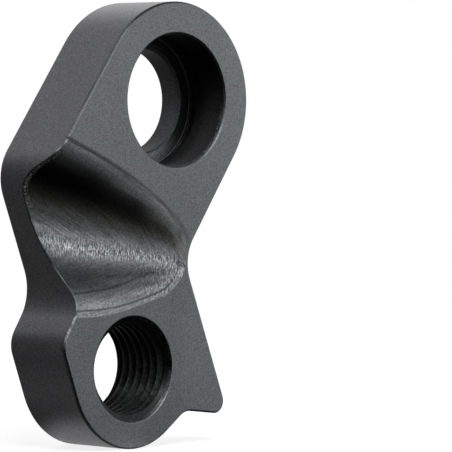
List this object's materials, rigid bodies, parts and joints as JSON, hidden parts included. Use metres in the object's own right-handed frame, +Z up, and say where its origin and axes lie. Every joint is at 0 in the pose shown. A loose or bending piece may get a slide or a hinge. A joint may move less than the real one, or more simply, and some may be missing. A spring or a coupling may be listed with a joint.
{
  "type": "rear derailleur adapter",
  "caption": "Flat angled link for a bicycle frame's hanger: counterbored bolt hole in the round head, threaded hole in the foot, a scallop milled across the front and a pointed stop tab.",
  "frame": {"origin": "centre of the hanger bolt bore on the back face, which lies against the bicycle frame's hanger", "axes": "+Z up along the link's length, as it hangs in use; the front face looks along -Y, the way the bolts leave; +X is the side of the stop tab"},
  "size_m": [0.0262, 0.008, 0.0441],
  "materials": {
    "link": "bead-blasted and anodised dark grey"
  },
  "bodies": {
    "root": {"adapter_link": "link"}
  },
  "joints": []
}
